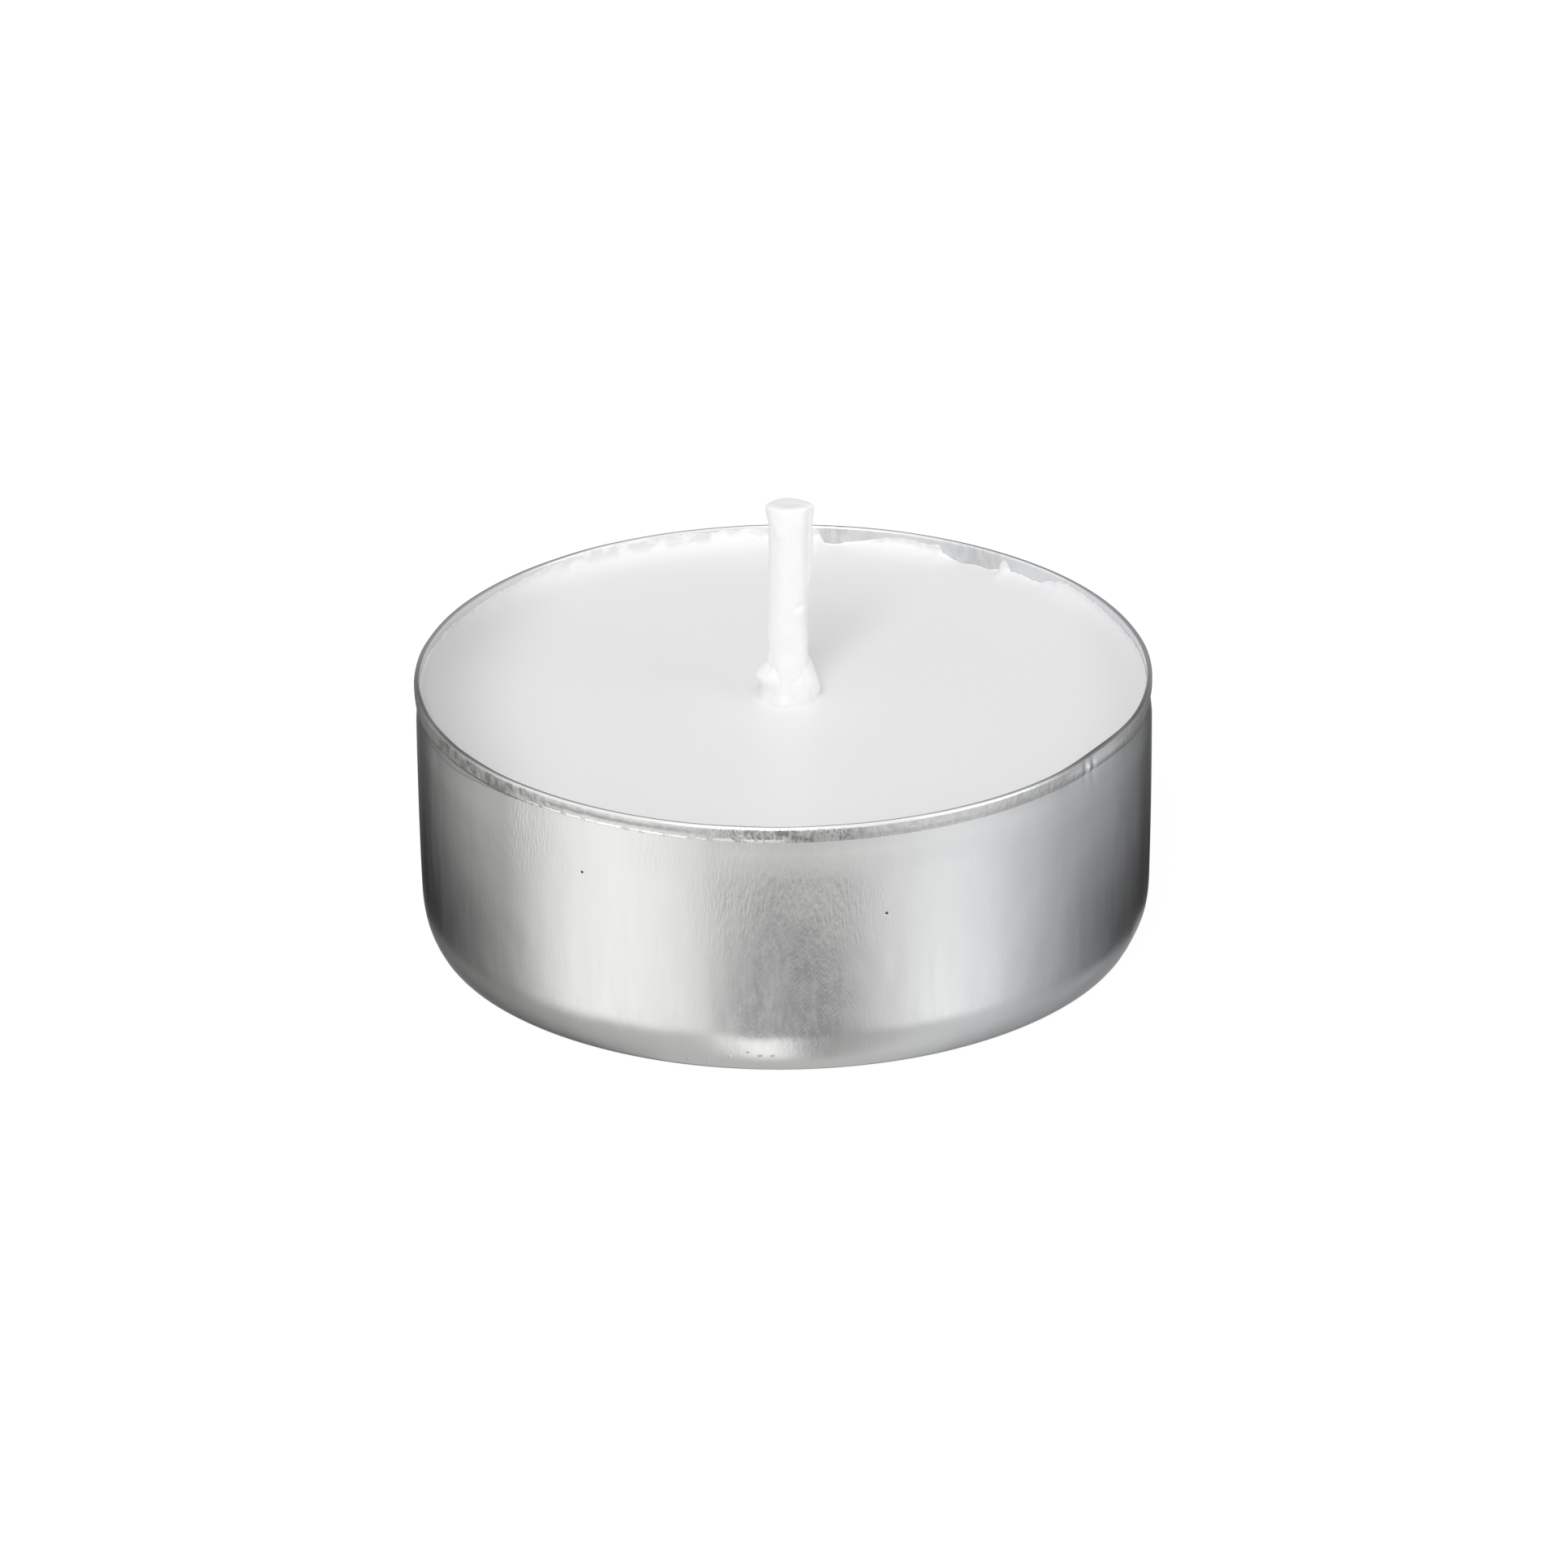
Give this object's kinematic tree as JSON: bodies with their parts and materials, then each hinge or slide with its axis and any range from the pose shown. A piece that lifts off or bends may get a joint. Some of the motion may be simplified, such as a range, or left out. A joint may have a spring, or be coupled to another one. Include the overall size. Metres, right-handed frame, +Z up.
{
  "type": "tea light candle",
  "caption": "Round tea light: white wax with a waxed wick in a low drawn aluminium foil cup with a folded rim.",
  "frame": {"origin": "middle of the base, in the plane of the standing ring that the cup rests on", "axes": "+Z up along the cup's axis; +X to the right as the picture shows it; +Y away from the viewer"},
  "size_m": [0.0384, 0.0384, 0.0238],
  "materials": {
    "foil": "bright drawn foil with fine upright draw marks",
    "wax": "white paraffin wax, smooth and slightly translucent",
    "wick": "braided cotton with a coat of white wax",
    "tinplate": "plain tinned steel sheet"
  },
  "bodies": {
    "root": {"cup": "foil", "wax": "wax", "wick": "wick", "wick_sustainer": "tinplate"}
  },
  "joints": []
}
